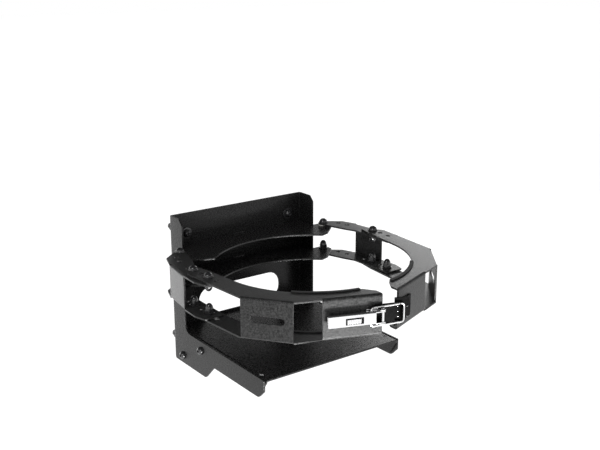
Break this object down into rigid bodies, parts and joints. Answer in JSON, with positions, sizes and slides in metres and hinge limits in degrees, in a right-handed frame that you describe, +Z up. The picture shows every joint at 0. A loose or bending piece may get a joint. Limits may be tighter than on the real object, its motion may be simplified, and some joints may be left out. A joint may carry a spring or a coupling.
{
  "type": "gas cylinder bracket",
  "caption": "Wall bracket for a gas cylinder: a folded steel shelf on a back frame, and two hinged adjustable arms that close round the cylinder with a draw latch.",
  "frame": {"origin": "midpoint between the two upper wall bolts, on the plane of the back frame's wall face", "axes": "+Y points into the wall, out of the frame's rear face. +Z is up, along the cylinder. +X is to the right as seen from the front."},
  "size_m": [0.417, 0.492, 0.265],
  "materials": {
    "painted_steel": "black fine-texture powder coat, semi-gloss",
    "black_screws": "black plated steel, glossy",
    "bright_steel": "bright steel, polished",
    "black_keeper": "black plated steel, glossy",
    "edge_rubber": "black, matt",
    "nylon": "off-white nylon"
  },
  "bodies": {
    "wall_frame": {"back_frame": "painted_steel", "shelf": "painted_steel", "yoke_plate_lower": "painted_steel", "yoke_plate_upper": "painted_steel", "wall_bolt_upper_left": "black_screws", "wall_washer_upper_left": "black_screws", "wall_nut_upper_left": "black_screws", "wall_bolt_upper_right": "black_screws", "wall_washer_upper_right": "black_screws", "wall_nut_upper_right": "black_screws", "wall_bolt_lower_left": "black_screws", "wall_washer_lower_left": "black_screws", "wall_nut_lower_left": "black_screws", "wall_bolt_lower_right": "black_screws", "wall_washer_lower_right": "black_screws", "wall_nut_lower_right": "black_screws", "shelf_screw_left_rear": "black_screws", "shelf_screw_left_front": "black_screws", "shelf_screw_right_rear": "black_screws", "shelf_screw_right_front": "black_screws", "left_hinge_upper_screw": "black_screws", "left_hinge_upper_nut": "black_screws", "left_hinge_upper_washer": "nylon", "left_hinge_lower_screw": "black_screws", "left_hinge_lower_nut": "black_screws", "left_hinge_lower_washer": "nylon", "right_hinge_upper_screw": "black_screws", "right_hinge_upper_nut": "black_screws", "right_hinge_upper_washer": "nylon", "right_hinge_lower_screw": "black_screws", "right_hinge_lower_nut": "black_screws", "right_hinge_lower_washer": "nylon"},
    "left_side": {"left_link": "painted_steel", "left_arm": "painted_steel", "left_trim_upper": "edge_rubber", "left_trim_lower": "edge_rubber", "left_clamp_upper_rear_screw": "black_screws", "left_clamp_upper_rear_nut": "black_screws", "left_clamp_upper_front_screw": "black_screws", "left_clamp_upper_front_nut": "black_screws", "left_clamp_lower_rear_screw": "black_screws", "left_clamp_lower_rear_nut": "black_screws", "left_clamp_lower_front_screw": "black_screws", "left_clamp_lower_front_nut": "black_screws", "latch_base": "bright_steel", "latch_pin": "bright_steel"},
    "right_side": {"right_link": "painted_steel", "right_arm": "painted_steel", "right_trim_upper": "edge_rubber", "right_trim_lower": "edge_rubber", "right_clamp_upper_rear_screw": "black_screws", "right_clamp_upper_rear_nut": "black_screws", "right_clamp_lower_rear_screw": "black_screws", "right_clamp_lower_rear_nut": "black_screws", "right_clamp_lower_front_screw": "black_screws", "right_clamp_lower_front_nut": "black_screws", "latch_keeper": "black_keeper"},
    "lever": {"latch_lever": "bright_steel"},
    "bail": {"latch_bail": "bright_steel"},
    "button": {"lock_button": "bright_steel"}
  },
  "joints": [
    {"name": "left_arm_swing", "type": "hinge", "parent": "wall_frame", "child": "left_side", "pos_m": [-0.1525, -0.0572, -0.0428], "axis": [0, 0, -1], "range_deg": [0, 85]},
    {"name": "right_arm_swing", "type": "hinge", "parent": "wall_frame", "child": "right_side", "pos_m": [0.1525, -0.0572, -0.0428], "axis": [0, 0, 1], "range_deg": [0, 85]},
    {"name": "latch_lever_turn", "type": "hinge", "parent": "left_side", "child": "lever", "pos_m": [-0.02055, -0.4252, -0.0428], "axis": [0, 0, 1], "range_deg": [0, 150]},
    {"name": "latch_bail_turn", "type": "hinge", "parent": "lever", "child": "bail", "pos_m": [-0.03702, -0.41788, -0.0428], "axis": [0, 0, 1], "range_deg": [-150, 0]},
    {"name": "lock_button_slide", "type": "slide", "parent": "lever", "child": "button", "axis": [0.935, -0.3546, 0], "range_m": [0, 0.003], "stiffness_N_per_m": 300, "springref_m": -0.001}
  ],
  "couplings": [
    {"joint": "latch_bail_turn", "follows": "latch_lever_turn", "ratio": -1}
  ]
}
